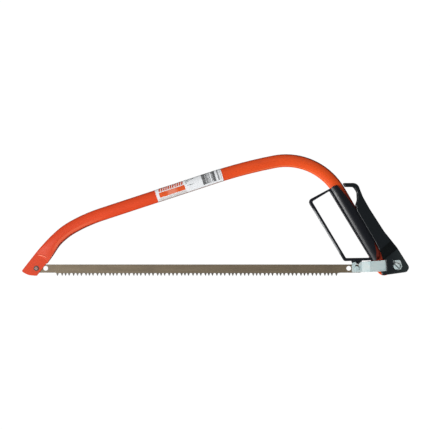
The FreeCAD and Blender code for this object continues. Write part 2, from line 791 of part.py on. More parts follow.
def link_nut():
    radius = NUT_ACROSS_FLATS / 2 / math.cos(math.pi / 6)
    points = []
    for step in range(6):
        angle = step * math.pi / 3
        point = LINK_PIVOT + heading_vector(angle) * radius
        points.append(Vector(point.x, LINK_BUSH_HALF_LENGTH, point.z))
    face = Part.Face(Part.makePolygon(points + points[:1]))
    nut = face.extrude(ACROSS * NUT_THICKNESS)
    foot = place(LINK_PIVOT.x, LINK_PIVOT.z, LINK_BUSH_HALF_LENGTH)
    foot_ease, top_ease = NUT_CONE_EASE
    nut = nut.common(Part.makeCone(radius + foot_ease, radius + top_ease, NUT_THICKNESS, foot, ACROSS))
    return nut.cut(disc(LINK_PIVOT, SCREW_RADIUS, -THROUGH, THROUGH))


# ---------------------------------------------------------------- all pieces

PIECES = {
    "frame_tube": frame_tube,
    "front_blade_pin": front_blade_pin,
    "pin_retaining_ring": pin_retaining_ring,
    "grip_and_guard": grip_and_guard,
    "label": label,
    "lever_pivot_rivet": lever_pivot_rivet,
    "saw_blade": saw_blade,
    "blade_rear_stud": blade_rear_stud,
    "tension_link": tension_link,
    "tension_lever": tension_lever,
    "lever_pivot_bush": lever_pivot_bush,
    "link_bush": link_bush,
    "link_screw": link_screw,
    "link_nut": link_nut,
}

os.makedirs("parts", exist_ok=True)
for name, make in PIECES.items():
    shape = make()
    shape.translate(ORIGIN * -1)
    print(name, "valid", shape.isValid(), "solids", len(shape.Solids), "volume mm3", round(shape.Volume))
    shape.exportStep("parts/" + name + ".step")
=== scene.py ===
"""A bow saw: orange enamelled tube, peg-tooth blade, black grip with a knuckle guard, and a tension lever.

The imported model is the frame.  Everything here is in metres: X runs back from the front pin to the lever,
Z is up, and the camera looks along +Y at the saw's near side.

Each section starts with its own measures.  A pair of numbers is mostly a range, which something fills or
over which it fades.  A "turn" is a range for the way a surface faces: its normal's part in one direction.
"""
import math

import bpy
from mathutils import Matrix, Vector


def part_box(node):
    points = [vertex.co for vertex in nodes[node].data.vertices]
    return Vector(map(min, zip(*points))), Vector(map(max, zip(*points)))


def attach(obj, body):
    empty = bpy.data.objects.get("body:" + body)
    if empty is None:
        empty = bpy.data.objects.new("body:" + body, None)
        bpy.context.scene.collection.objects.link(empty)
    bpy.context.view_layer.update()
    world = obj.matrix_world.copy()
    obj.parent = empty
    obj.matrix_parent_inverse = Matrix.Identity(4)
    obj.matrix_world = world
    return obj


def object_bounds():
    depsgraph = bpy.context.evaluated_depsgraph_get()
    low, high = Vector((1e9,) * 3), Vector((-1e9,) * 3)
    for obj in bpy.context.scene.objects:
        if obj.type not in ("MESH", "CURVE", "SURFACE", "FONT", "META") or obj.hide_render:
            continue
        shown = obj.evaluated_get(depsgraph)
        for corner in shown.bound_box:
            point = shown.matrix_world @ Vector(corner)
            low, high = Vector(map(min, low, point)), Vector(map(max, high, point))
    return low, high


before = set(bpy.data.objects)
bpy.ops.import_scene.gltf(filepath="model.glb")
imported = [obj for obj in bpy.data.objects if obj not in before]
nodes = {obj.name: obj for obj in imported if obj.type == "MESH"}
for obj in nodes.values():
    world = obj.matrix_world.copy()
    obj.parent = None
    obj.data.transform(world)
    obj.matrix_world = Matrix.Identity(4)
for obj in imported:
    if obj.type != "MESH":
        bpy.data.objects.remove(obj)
cad_low, cad_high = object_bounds()
cad_centre = (cad_low + cad_high) / 2

MM = 0.001
ORIGIN = Vector((0.0, 0.0, 0.0))
WHITE = (1.0, 1.0, 1.0, 1.0)


# ---------------------------------------------------------------- node helpers

NOISE_RANGE = (0.3, 0.7)         # where most of a noise lies
NOISE_MIDDLE = 0.5


def material(name):
    """A new node material, its tree and its shader."""
    made = bpy.data.materials.new(name)
    made.use_nodes = True
    return made, made.node_tree, made.node_tree.nodes["Principled BSDF"]


def node(tree, kind, **settings):
    """A node with its attributes or its inputs' values set."""
    made = tree.nodes.new(kind)
    for key, value in settings.items():
        if hasattr(made, key):
            setattr(made, key, value)
        else:
            made.inputs[key].default_value = value
    return made


def feed(tree, socket, value):
    """Give an input a number, a colour or another node's output."""
    if isinstance(value, bpy.types.NodeSocket):
        tree.links.new(value, socket)
    elif isinstance(value, tuple) and len(value) == 3 and socket.type == "RGBA":
        socket.default_value = (*value, 1.0)
    else:
        socket.default_value = value


def place_of(tree):
    """The point on the piece, in the saw's own frame."""
    return node(tree, "ShaderNodeTexCoord").outputs["Object"]


def normal_of(tree):
    """The way the surface faces, in the saw's own frame."""
    return node(tree, "ShaderNodeTexCoord").outputs["Normal"]


def axes_of(tree, vector):
    split = node(tree, "ShaderNodeSeparateXYZ")
    feed(tree, split.inputs[0], vector)
    return split.outputs["X"], split.outputs["Y"], split.outputs["Z"]


def maths(tree, operation, *values):
    made = node(tree, "ShaderNodeMath", operation=operation)
    for socket, value in zip(made.inputs, values):
        feed(tree, socket, value)
    return made.outputs["Value"]


def product(tree, first, *others):
    result = first
    for other in others:
        result = maths(tree, "MULTIPLY", result, other)
    return result


def distance(tree, first, second):
    """The distance made by two distances at right angles."""
    squares = maths(tree, "ADD", product(tree, first, first), product(tree, second, second))
    return maths(tree, "SQRT", squares)


def wave(tree, value, pitch):
    """A sine along a distance, whose crests are 2 pi pitches apart."""
    return maths(tree, "SINE", maths(tree, "DIVIDE", value, pitch))


def noise(tree, vector, scale=1.0, detail=3.0, roughness=0.5):
    """A noise with about as many cells in a metre as its scale."""
    made = node(tree, "ShaderNodeTexNoise", Scale=scale, Detail=detail, Roughness=roughness)
    feed(tree, made.inputs["Vector"], vector)
    return made.outputs["Fac"]


def stretched(tree, vector, cells):
    """A point scaled for a noise that has a different number of cells in a metre along each axis."""
    mapping = node(tree, "ShaderNodeMapping", Scale=cells)
    feed(tree, mapping.inputs["Vector"], vector)
    return mapping.outputs["Vector"]


def remap(tree, value, low, high, new_low, new_high):
    """Smoothly from one value at low to another at high."""
    made = node(tree, "ShaderNodeMapRange", interpolation_type="SMOOTHSTEP")
    for name, number in (("From Min", low), ("From Max", high), ("To Min", new_low), ("To Max", new_high)):
        made.inputs[name].default_value = number
    feed(tree, made.inputs["Value"], value)
    return made.outputs["Result"]


def rise(tree, value, low, high, top=1.0):
    """Nought at low, and the top at high."""
    return remap(tree, value, low, high, 0.0, top)


def fall(tree, value, low, high, top=1.0):
    """The top at low, and nought at high."""
    return remap(tree, value, low, high, top, 0.0)


def spread(tree, value, lowest=0.0, highest=1.0):
    """A noise, with its usual range turned into another."""
    return remap(tree, value, *NOISE_RANGE, lowest, highest)


def band(tree, value, low, high, edge):
    """One between low and high, nought outside, with soft edges."""
    rising = rise(tree, value, low - edge, low + edge)
    falling = fall(tree, value, high - edge, high + edge)
    return product(tree, rising, falling)


def along(tree, place, origin, direction):
    """How far a point is from the origin in one direction."""
    moved = node(tree, "ShaderNodeVectorMath", operation="SUBTRACT")
    feed(tree, moved.inputs[0], place)
    moved.inputs[1].default_value = origin
    dot = node(tree, "ShaderNodeVectorMath", operation="DOT_PRODUCT")
    feed(tree, dot.inputs[0], moved.outputs["Vector"])
    dot.inputs[1].default_value = direction
    return dot.outputs["Value"]


def near_axis(tree, place, centre, inner, outer):
    """One within the inner radius of a cross-wise axis, fading to nought at the outer radius."""
    x, _, z = axes_of(tree, place)
    across = maths(tree, "SUBTRACT", x, centre.x)
    up = maths(tree, "SUBTRACT", z, centre.z)
    return fall(tree, distance(tree, across, up), inner, outer)


def mixed(tree, share, first, second):
    """A colour between two colours, each a tuple or a socket."""
    made = node(tree, "ShaderNodeMix", data_type="RGBA")
    feed(tree, made.inputs["Factor"], share)
    first_socket, second_socket = [one for one in made.inputs if one.type == "RGBA"]
    feed(tree, first_socket, first)
    feed(tree, second_socket, second)
    return [one for one in made.outputs if one.type == "RGBA"][0]


def surface(tree, shader, colour, roughness):
    feed(tree, shader.inputs["Base Color"], colour)
    feed(tree, shader.inputs["Roughness"], roughness)


def bumped(tree, shader, height, depth):
    made = node(tree, "ShaderNodeBump", Distance=depth)
    feed(tree, made.inputs["Height"], height)
    feed(tree, shader.inputs["Normal"], made.outputs["Normal"])


def middle_of(node_name):
    low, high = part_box(node_name)
    return (low + high) / 2


# ---------------------------------------------------------------- enamel

# Two tones that meet slowly along the tube, with fine specks, and painted shade darkening its rims
ENAMEL_FRONT = (0.70, 0.062, 0.0165)
ENAMEL_REAR = (0.91, 0.095, 0.0135)
MEETING = (-0.50, 0.02)
MEETING_DRIFT = 0.04             # how far the meeting wanders
SPECK = (0.30, 0.022, 0.010)
SPECK_NOISE = (0.66, 0.80)
SPECK_SHARE = 0.35
RIM_PAINTED_SHADE = (0.40, 0.032, 0.012)
RIM_TURN = (0.15, 0.55)
RIM_SHARE = 0.40

# Chafed round the front pin and the lever's rivet
CHAFED = (0.30, 0.060, 0.035)
CHAFED_NOISE = (0.50, 0.62)
CHAFED_SHARE = 0.55

# The pressed end is darker, and the front arm has a painted highlight and then painted shade towards its
# inner edge
FRONT_END = (0.52, 0.046, 0.015)
FRONT_END_FADE = (-0.53, -0.43)
FRONT_END_SHARE = 0.65
ARM_INWARD = Vector((0.66, 0.0, -0.75))
ARM_FADE = (-0.46, -0.41)
ARM_PAINTED_HIGHLIGHT = (0.86, 0.18, 0.09)
ARM_HIGHLIGHT_TURN = (0.22, 0.42)
ARM_HIGHLIGHT_EDGE = 0.08
ARM_HIGHLIGHT_SHARE = 0.45
ARM_PAINTED_SHADE = (0.16, 0.012, 0.008)
ARM_SHADE_TURN = (0.48, 0.72)
ARM_SHADE_SHARE = 0.85

# The bend above the grip has a painted highlight just inside its lower edge, and painted shade over its back
GLINT = (0.95, 0.27, 0.10)
GLINT_START = (-0.24, -0.16)
GLINT_TURN = (0.74, 0.88)
GLINT_EDGE = 0.04
GLINT_SHARE = 0.60
UNDERSIDE_TURN = (-0.15, 0.0)
BEND_INWARD = Vector((-0.70, 0.0, -0.71))
BEND_PAINTED_SHADE = (0.20, 0.018, 0.010)
BEND_BACK_START = (-0.20, -0.10)
BEND_BACK_TURN = (-0.85, -0.40)
BEND_BACK_SHARE = 0.75

# The rear leg's back and foot lie in the lever's shade
PIVOT = Vector((0.0406, 0.0, -0.0689))   # of the lever, from which the leg's heights are measured
LEG_UP = Vector((-0.50754, 0.0, 0.86163))
LEG_FRONT = Vector((-0.86163, 0.0, -0.50754))
LEG_SHADE = (0.22, 0.022, 0.015)
LEG_BACK = (-7 * MM, 0.0)
LEG_BACK_TOP = (130 * MM, 160 * MM)
LEG_BACK_SHARE = 0.90
LEG_FOOT = (6 * MM, 42 * MM)
LEG_FOOT_EDGE = 6 * MM
LEG_FOOT_SHARE = 0.82

# The crease at the front end has a painted highlight, paler than the enamel
CREASE_HIGHLIGHT_LOW = (0.86, 0.16, 0.075)
CREASE_HIGHLIGHT_HIGH = (0.90, 0.26, 0.16)


def enamel_tones(tree, place, x):
    """The two tones and the specks."""
    drift = spread(tree, noise(tree, place, scale=14.0), -MEETING_DRIFT, MEETING_DRIFT)
    meeting = rise(tree, maths(tree, "ADD", x, drift), *MEETING)
    colour = mixed(tree, meeting, ENAMEL_FRONT, ENAMEL_REAR)
    speck = noise(tree, place, scale=420.0, detail=4.0, roughness=0.7)
    return mixed(tree, rise(tree, speck, *SPECK_NOISE, top=SPECK_SHARE), colour, SPECK)


def chafed_ends(tree, colour, place, rub):
    ends = maths(
        tree,
        "MAXIMUM",
        near_axis(tree, place, middle_of("front_blade_pin"), inner=4 * MM, outer=12 * MM),
        near_axis(tree, place, middle_of("lever_pivot_rivet"), inner=8 * MM, outer=16 * MM),
    )
    chafed = product(tree, ends, rise(tree, rub, *CHAFED_NOISE), CHAFED_SHARE)
    return mixed(tree, chafed, colour, CHAFED)


def front_arm(tree, colour, x, normal):
    """The pressed end, and the painted highlight and painted shade of the arm behind it."""
    colour = mixed(tree, fall(tree, x, *FRONT_END_FADE, top=FRONT_END_SHARE), colour, FRONT_END)
    inward = along(tree, normal, ORIGIN, ARM_INWARD)
    arm = fall(tree, x, *ARM_FADE)
    # Painted highlight: a paler stripe on the arm's inner side
    painted_highlight = product(tree, band(tree, inward, *ARM_HIGHLIGHT_TURN, ARM_HIGHLIGHT_EDGE), arm, ARM_HIGHLIGHT_SHARE)
    colour = mixed(tree, painted_highlight, colour, ARM_PAINTED_HIGHLIGHT)
    # Painted shade towards the arm's inner edge
    painted_shade = product(tree, rise(tree, inward, *ARM_SHADE_TURN), arm, ARM_SHADE_SHARE)
    return mixed(tree, painted_shade, colour, ARM_PAINTED_SHADE)


def rear_bend(tree, colour, x, normal, facing, upward):
    """The painted highlight by the bend's lower edge, and the painted shade on its back."""
    # Painted highlight: a pale line just inside the bend's lower edge
    line = band(tree, facing, *GLINT_TURN, GLINT_EDGE)
    underside = fall(tree, upward, *UNDERSIDE_TURN)
    glint = product(tree, line, underside, rise(tree, x, *GLINT_START), GLINT_SHARE)
    colour = mixed(tree, glint, colour, GLINT)
    # Painted shade over the bend's back
    inward = along(tree, normal, ORIGIN, BEND_INWARD)
    back = fall(tree, inward, *BEND_BACK_TURN, top=BEND_BACK_SHARE)
    return mixed(tree, product(tree, back, rise(tree, x, *BEND_BACK_START)), colour, BEND_PAINTED_SHADE)


def rear_leg(tree, colour, place):
    """The shade on the leg's back and foot."""
    up = along(tree, place, PIVOT, LEG_UP)
    front = along(tree, place, PIVOT, LEG_FRONT)
    back = product(tree, fall(tree, front, *LEG_BACK, top=LEG_BACK_SHARE), fall(tree, up, *LEG_BACK_TOP))
    foot = product(tree, band(tree, up, *LEG_FOOT, LEG_FOOT_EDGE), LEG_FOOT_SHARE)
    return mixed(tree, maths(tree, "MAXIMUM", back, foot), colour, LEG_SHADE)


def orange_enamel():
    """Baked enamel with a fine orange peel, whose tone changes from one part of the tube to another, with
    painted highlights and painted shade.
    """
    made, tree, shader = material("orange_enamel")
    place = place_of(tree)
    normal = normal_of(tree)
    x, _, _ = axes_of(tree, place)
    _, sideways, upward = axes_of(tree, normal)
    facing = maths(tree, "ABSOLUTE", sideways)
    rub = noise(tree, place, scale=260.0, detail=5.0, roughness=0.65)
    colour = enamel_tones(tree, place, x)
    colour = chafed_ends(tree, colour, place, rub)
    # Painted shade: the tube's rims are darkened in the colour
    colour = mixed(tree, fall(tree, facing, *RIM_TURN, top=RIM_SHARE), colour, RIM_PAINTED_SHADE)
    colour = front_arm(tree, colour, x, normal)
    colour = rear_bend(tree, colour, x, normal, facing, upward)
    colour = rear_leg(tree, colour, place)
    surface(tree, shader, colour, roughness=spread(tree, rub, 0.42, 0.54))
    shader.inputs["Specular IOR Level"].default_value = 0.20
    shader.inputs["Coat Weight"].default_value = 0.08
    shader.inputs["Coat Roughness"].default_value = 0.12
    bumped(tree, shader, noise(tree, place, scale=420.0, detail=1.0), depth=0.004 * MM)
    return made


def crease_highlight_enamel():
    """The same enamel, painted paler along the crease as a highlight."""
    made, tree, shader = material("crease_highlight_enamel")
    mottle = noise(tree, place_of(tree), scale=600.0, detail=4.0, roughness=0.6)
    colour = mixed(tree, spread(tree, mottle), CREASE_HIGHLIGHT_LOW, CREASE_HIGHLIGHT_HIGH)
    surface(tree, shader, colour, roughness=spread(tree, mottle, 0.34, 0.46))
    return made


# ---------------------------------------------------------------- plastics

FLOW_CELLS = (30.0, 18.0, 12.0)
SCUFF_CELLS = (500.0, 300.0, 90.0)
SCUFF_NOISE = (0.66, 0.78)
SCUFF_SHARE = 0.30
SCUFF_PALER = 3.0                # times the light tone
GRAIN_ROUGHNESS = 0.02

# Grip, and the painted highlight on the outer face of the guard's long bar
GRIP_DARK = (0.0055, 0.0064, 0.0095)
GRIP_LIGHT = (0.0095, 0.0108, 0.0155)
GUARD_CORNER = Vector((-0.0862, 0.0, 0.0421))
GUARD_ALONG = Vector((0.5176, 0.0, -0.8556))
GUARD_OUTWARD = Vector((-0.8556, 0.0, -0.5176))
GUARD_LENGTH = 0.117
GUARD_FACE = (-2.6 * MM, -1.0 * MM)   # outward of the corner, where the painted highlight starts
GUARD_PAINTED_HIGHLIGHT = (0.30, 0.31, 0.32)
GUARD_HIGHLIGHT_FROM = 0.16 * GUARD_LENGTH
GUARD_HIGHLIGHT_TO = 0.86 * GUARD_LENGTH
GUARD_HIGHLIGHT_EDGE = 6 * MM

# Lever: a sunk band between its handle panel and its base, painted near black as shade, and the base itself,
# given a painted slate-grey sheen
LEVER_DARK = (0.0072, 0.0096, 0.0118)
LEVER_LIGHT = (0.0106, 0.0138, 0.0164)
RECESS_START = Vector((0.0254, 0.0, -0.0460))
RECESS_UPWARD = Vector((-0.647, 0.0, 0.763))
RECESS_WIDTH = 0.0163
RECESS_EDGE = 0.3 * MM
RECESS_PAINTED_SHADE = (0.0006, 0.0012, 0.0015)
MOULD_LINE = (0.020, 0.026, 0.028)
MOULD_LINE_PITCH = 0.45 * MM
MOULD_LINE_CREST = (0.45, 0.90)
MOULD_LINE_TURN = (0.80, 0.95)
MOULD_LINE_SHARE = 0.55
BASE_PAINTED_SHEEN = (0.030, 0.039, 0.040)
SHEEN_FADE = 1 * MM
SHEEN_REACH = (48 * MM, 78 * MM)
SHEEN_SHARES = (0.15, 0.75)


def moulded_plastic(name, dark, light, roughness, specular, marked):
    """Satin black moulding: a fine spark-eroded grain, faint flow lines, a few scuffs, and its own marks."""
    made, tree, shader = material(name)
    place = place_of(tree)
    flow = noise(tree, stretched(tree, place, FLOW_CELLS), detail=4.0)
    scuff = noise(tree, stretched(tree, place, SCUFF_CELLS), detail=5.0, roughness=0.7)
    colour = mixed(tree, flow, dark, light)
    pale = tuple(SCUFF_PALER * part for part in light)
    colour = mixed(tree, rise(tree, scuff, *SCUFF_NOISE, top=SCUFF_SHARE), colour, pale)
    colour = marked(tree, colour, place)
    grain = noise(tree, place, scale=1300.0, detail=2.0)
    sheen = spread(tree, grain, roughness - GRAIN_ROUGHNESS, roughness + GRAIN_ROUGHNESS)
    surface(tree, shader, colour, roughness=sheen)
    shader.inputs["Specular IOR Level"].default_value = specular
    bumped(tree, shader, grain, depth=0.0015 * MM)
    return made


def guard_highlight(tree, colour, place):
    """The guard's outer face has a painted highlight, pale grey along its long bar."""
    outward = along(tree, place, GUARD_CORNER, GUARD_OUTWARD)
    down = along(tree, place, GUARD_CORNER, GUARD_ALONG)
    face = rise(tree, outward, *GUARD_FACE)
    # Painted highlight: the outer face of the long bar is made paler grey
    highlight = band(tree, down, GUARD_HIGHLIGHT_FROM, GUARD_HIGHLIGHT_TO, GUARD_HIGHLIGHT_EDGE)
    return mixed(tree, product(tree, face, highlight), colour, GUARD_PAINTED_HIGHLIGHT)


def lever_marks(tree, colour, place):
    """The sunk band is painted black as shade, with slanted mould lines on its faces; the base below it has
    a painted slate-grey sheen.
    """
    up = along(tree, place, RECESS_START, RECESS_UPWARD)
    x, _, z = axes_of(tree, place)
    _, sideways, _ = axes_of(tree, normal_of(tree))
    sunk = band(tree, up, -RECESS_WIDTH, 0.0, RECESS_EDGE)
    # Painted shade: the sunk band is darkened to near black
    colour = mixed(tree, sunk, colour, RECESS_PAINTED_SHADE)
    crests = rise(tree, wave(tree, maths(tree, "ADD", x, z), MOULD_LINE_PITCH), *MOULD_LINE_CREST)
    faces = rise(tree, maths(tree, "ABSOLUTE", sideways), *MOULD_LINE_TURN)
    lines = product(tree, sunk, product(tree, crests, faces), MOULD_LINE_SHARE)
    colour = mixed(tree, lines, colour, MOULD_LINE)
    # Painted sheen: the base below the band is made paler slate grey
    below = fall(tree, up, -RECESS_WIDTH - SHEEN_FADE, -RECESS_WIDTH)
    painted_sheen = product(tree, below, remap(tree, x, *SHEEN_REACH, *SHEEN_SHARES))
    return mixed(tree, painted_sheen, colour, BASE_PAINTED_SHEEN)


# ---------------------------------------------------------------- metals

ZINC_DULL = (0.54, 0.68, 0.69)
ZINC_BRIGHT = (0.64, 0.71, 0.70)
ZINC_CLOUD_NOISE = (0.35, 0.65)
SPANGLE = (0.42, 0.50, 0.52)
SPANGLE_NOISE = (0.55, 0.75)
SPANGLE_SHARE = 0.25
SLOT_PAINTED_SHADE = (0.020, 0.024, 0.024)
SLOT_SHADE = 0.5 * MM            # how far below the screw's head its slot turns dark
SLOT_FADE = 0.1 * MM

BLADE_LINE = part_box("front_blade_pin")
BLADE_Z = (BLADE_LINE[0].z + BLADE_LINE[1].z) / 2
TOOTH_ROOT = BLADE_Z - 8.0 * MM
TOOTH_FADE = 0.6 * MM
BLADE_BACK = BLADE_Z + 6.3 * MM
STREAK_CELLS = (9.0, 1.0, 1100.0)
STREAK_DARK = (0.175, 0.135, 0.088)
STREAK_LIGHT = (0.250, 0.200, 0.135)
STAIN = (0.150, 0.118, 0.085)
STAIN_CELLS = (30.0, 30.0, 60.0)
STAIN_NOISE = (0.4, 0.7)
STAIN_SHARE = 0.4
TEETH = (0.150, 0.140, 0.125)
BACK_EDGE = (0.120, 0.095, 0.065)
BACK_EDGE_FADE = (BLADE_BACK - 1.2 * MM, BLADE_BACK - 0.4 * MM)
BACK_EDGE_SHARE = 0.5

PIN_STEEL = (0.23, 0.20, 0.19)
PIN_MIST = (0.36, 0.13, 0.09)
PIN_MIST_NOISE = (0.35, 0.70)
SPRING_DARK = (0.030, 0.028, 0.027)
SPRING_LIGHT = (0.075, 0.070, 0.066)


def zinc_plate(name="zinc_plate", slot_depth=None):
    """Bright zinc over pressed steel: cloudy and cool, with painted shade in a screw's slot."""
    made, tree, shader = material(name)
    place = place_of(tree)
    cloud = noise(tree, place, scale=70.0)
    spangle = noise(tree, place, scale=900.0, roughness=0.6)
    colour = mixed(tree, rise(tree, cloud, *ZINC_CLOUD_NOISE), ZINC_DULL, ZINC_BRIGHT)
    colour = mixed(tree, rise(tree, spangle, *SPANGLE_NOISE, top=SPANGLE_SHARE), colour, SPANGLE)
    # Painted shade: the screw's slot turns dark below its head
    if slot_depth:
        _, y, _ = axes_of(tree, place)
        deep = fall(tree, maths(tree, "ABSOLUTE", y), slot_depth - SLOT_FADE, slot_depth)
        colour = mixed(tree, deep, colour, SLOT_PAINTED_SHADE)
    surface(tree, shader, colour, roughness=spread(tree, spangle, 0.40, 0.52))
    shader.inputs["Metallic"].default_value = 0.12
    shader.inputs["Specular IOR Level"].default_value = 0.30
    bumped(tree, shader, spangle, depth=0.003 * MM)
    return made


def blade_steel():
    """Tempered strip, lacquered brown-grey, drawn lengthwise; the ground teeth are barer and darker."""
    made, tree, shader = material("blade_steel")
    place = place_of(tree)
    _, _, z = axes_of(tree, place)
    streak = noise(tree, stretched(tree, place, STREAK_CELLS), detail=5.0, roughness=0.6)
    stain = noise(tree, stretched(tree, place, STAIN_CELLS))
    colour = mixed(tree, streak, STREAK_DARK, STREAK_LIGHT)
    colour = mixed(tree, rise(tree, stain, *STAIN_NOISE, top=STAIN_SHARE), colour, STAIN)
    teeth = fall(tree, z, TOOTH_ROOT - TOOTH_FADE, TOOTH_ROOT + TOOTH_FADE)
    colour = mixed(tree, teeth, colour, TEETH)
    back_edge = rise(tree, z, *BACK_EDGE_FADE, top=BACK_EDGE_SHARE)
    colour = mixed(tree, back_edge, colour, BACK_EDGE)
    surface(tree, shader, colour, roughness=spread(tree, streak, 0.36, 0.50))
    shader.inputs["Metallic"].default_value = 0.35
    bumped(tree, shader, streak, depth=0.006 * MM)
    return made


def pin_steel():
    """The front pin: dull steel with a mist of the frame's enamel."""
    made, tree, shader = material("pin_steel")
    mist = noise(tree, place_of(tree), scale=380.0, detail=4.0, roughness=0.6)
    colour = mixed(tree, rise(tree, mist, *PIN_MIST_NOISE), PIN_STEEL, PIN_MIST)
    surface(tree, shader, colour, roughness=spread(tree, mist, 0.40, 0.55))
    shader.inputs["Metallic"].default_value = 0.30
    return made


def spring_steel():
    """The push-on ring that keeps the front pin in: dark and oiled."""
    made, tree, shader = material("spring_steel")
    shade = noise(tree, place_of(tree), scale=500.0)
    colour = mixed(tree, shade, SPRING_DARK, SPRING_LIGHT)
    surface(tree, shader, colour, roughness=spread(tree, shade, 0.38, 0.55))
    shader.inputs["Metallic"].default_value = 0.6
    return made


# ---------------------------------------------------------------- label

# A strip along the upper straight of the bow, laid out in millimetres along it and across it
LABEL_START = Vector((-0.33586, 0.0, 0.04919))
LABEL_HEADING = math.radians(18.2)
NEAR_SIDE = (-1.0 * MM, 0.0)
PRINT_EDGE = 0.15 * MM
PAPER_DULL = (0.84, 0.865, 0.885)
PAPER_BRIGHT = (0.90, 0.915, 0.94)

# A row of leaning marks, an orange block with a pale middle, and a fine hatched foot
ROW_ALONG = (6, 48)
ROW_ACROSS = (5.0, 10.5)
ROW_LEAN = 0.35
ROW_PITCH = 0.62 * MM
ROW_CREST = (-0.80, -0.50)
ROW_INK = (0.66, 0.115, 0.055)
BLOCK_MIDDLE = (27.3 * MM, -0.3 * MM)
BLOCK_HALF = (22.2 * MM, 4.1 * MM)
BLOCK_CORNER = 1.6 * MM
BLOCK_INK = (0.76, 0.105, 0.022)
BLOCK_PALE = (0.80, 0.36, 0.26)
BLOCK_PALE_ALONG = (20 * MM, 35 * MM)
BLOCK_PALE_EDGE = 3 * MM
BLOCK_PALE_SHARE = 0.45
FOOT_ALONG = (3, 51)
FOOT_ACROSS = (-9.5, -5.2)
FOOT_PITCH = 0.28 * MM
FOOT_CREST = (-0.3, 0.3)
FOOT_INK = (0.50, 0.44, 0.40)

# Short lines of small print, each with its level, its start and its end
LINES = ((9.0, 52, 67), (6.9, 52, 58), (4.9, 52, 55), (0.9, 54, 65))
LINE_HALF_HEIGHT = 0.55
LINE_PITCH = 0.45 * MM
LINE_COVER = 0.7
LINE_INK = (0.16, 0.18, 0.18)

# Groups of upright bars, each with its start, its end, its cover and its tone
BAR_GROUPS = (
    (80, 86, 0.80, 0.12),
    (86, 94, 0.62, 0.18),
    (96, 103, 0.80, 0.12),
    (106, 109, 0.70, 0.17),
    (109.5, 112, 0.35, 0.30),
)
BAR_ACROSS = (-6.6, 10.6)
BAR_PITCH = 0.80 * MM
BAR_TINT = (1.0, 1.02, 1.05)
BAR_THRESHOLD = 0.4              # how fast the noise's threshold falls as the cover grows
BAR_EDGE = 0.03

# One thin rule under everything
RULE_ACROSS = (-10.5, -9.4)
RULE_SHARE = 0.85
RULE_INK = (0.36, 0.19, 0.14)


def within(tree, value, limits):
    """One between two distances on the label, in millimetres."""
    start, end = limits
    return band(tree, value, start * MM, end * MM, PRINT_EDGE)


def bars(tree, value, pitch, cover):
    """Lines across a direction, uneven in width, that cover about the given share."""
    lines = node(tree, "ShaderNodeTexNoise", noise_dimensions="1D", Scale=1.0, Detail=0.0)
    feed(tree, lines.inputs["W"], maths(tree, "DIVIDE", value, pitch))
    threshold = NOISE_MIDDLE + (0.5 - cover) * BAR_THRESHOLD
    return rise(tree, lines.outputs["Fac"], threshold - BAR_EDGE, threshold + BAR_EDGE)


def printed_foot(tree, s, t):
    hatching = rise(tree, wave(tree, maths(tree, "ADD", s, t), FOOT_PITCH), *FOOT_CREST)
    mask = product(tree, within(tree, s, FOOT_ALONG), within(tree, t, FOOT_ACROSS), hatching)
    return [(mask, FOOT_INK)]


def printed_block(tree, s, t):
    outside = []
    for value, middle, half in zip((s, t), BLOCK_MIDDLE, BLOCK_HALF):
        away = maths(tree, "ABSOLUTE", maths(tree, "SUBTRACT", value, middle))
        outside.append(maths(tree, "MAXIMUM", maths(tree, "SUBTRACT", away, half - BLOCK_CORNER), 0.0))
    mask = fall(tree, distance(tree, *outside), BLOCK_CORNER - PRINT_EDGE, BLOCK_CORNER + PRINT_EDGE)
    pale = product(tree, band(tree, s, *BLOCK_PALE_ALONG, BLOCK_PALE_EDGE), BLOCK_PALE_SHARE)
    return [(mask, mixed(tree, pale, BLOCK_INK, BLOCK_PALE))]


def printed_row(tree, s, t):
    leaning = maths(tree, "SUBTRACT", s, product(tree, t, ROW_LEAN))
    marks = rise(tree, wave(tree, leaning, ROW_PITCH), *ROW_CREST)
    mask = product(tree, within(tree, s, ROW_ALONG), within(tree, t, ROW_ACROSS), marks)
    return [(mask, ROW_INK)]


def printed_lines(tree, s, t):
    """Each line is a row of dashes, which stand for small print."""
    printed = []
    for level, start, end in LINES:
        height = within(tree, t, (level - LINE_HALF_HEIGHT, level + LINE_HALF_HEIGHT))
        dashes = bars(tree, s, LINE_PITCH, LINE_COVER)
        printed.append((product(tree, within(tree, s, (start, end)), height, dashes), LINE_INK))
    return printed


def printed_bars(tree, s, t):
    panel = within(tree, t, BAR_ACROSS)
    printed = []
    for start, end, cover, tone in BAR_GROUPS:
        mask = product(tree, panel, within(tree, s, (start, end)), bars(tree, s, BAR_PITCH, cover))
        printed.append((mask, tuple(tone * part for part in BAR_TINT)))
    return printed


def printed_rule(tree, _, t):
    return [(product(tree, within(tree, t, RULE_ACROSS), RULE_SHARE), RULE_INK)]


def label_print():
    """Printed paper, whose print is on the saw's near side only."""
    made, tree, shader = material("label_paper")
    place = place_of(tree)
    direction = Vector((math.cos(LABEL_HEADING), 0.0, math.sin(LABEL_HEADING)))
    s = along(tree, place, LABEL_START, direction)
    t = along(tree, place, LABEL_START, Vector((-direction.z, 0.0, direction.x)))
    _, y, _ = axes_of(tree, place)
    near_side = fall(tree, y, *NEAR_SIDE)
    shade = noise(tree, place, scale=90.0, detail=4.0)
    colour = mixed(tree, shade, PAPER_DULL, PAPER_BRIGHT)
    for printed in (printed_foot, printed_block, printed_row, printed_lines, printed_bars, printed_rule):
        for mask, ink in printed(tree, s, t):
            colour = mixed(tree, product(tree, mask, near_side), colour, ink)
    surface(tree, shader, colour, roughness=spread(tree, shade, 0.30, 0.40))
    bumped(tree, shader, noise(tree, place, scale=260.0), depth=0.010 * MM)
    return made


# ---------------------------------------------------------------- painting

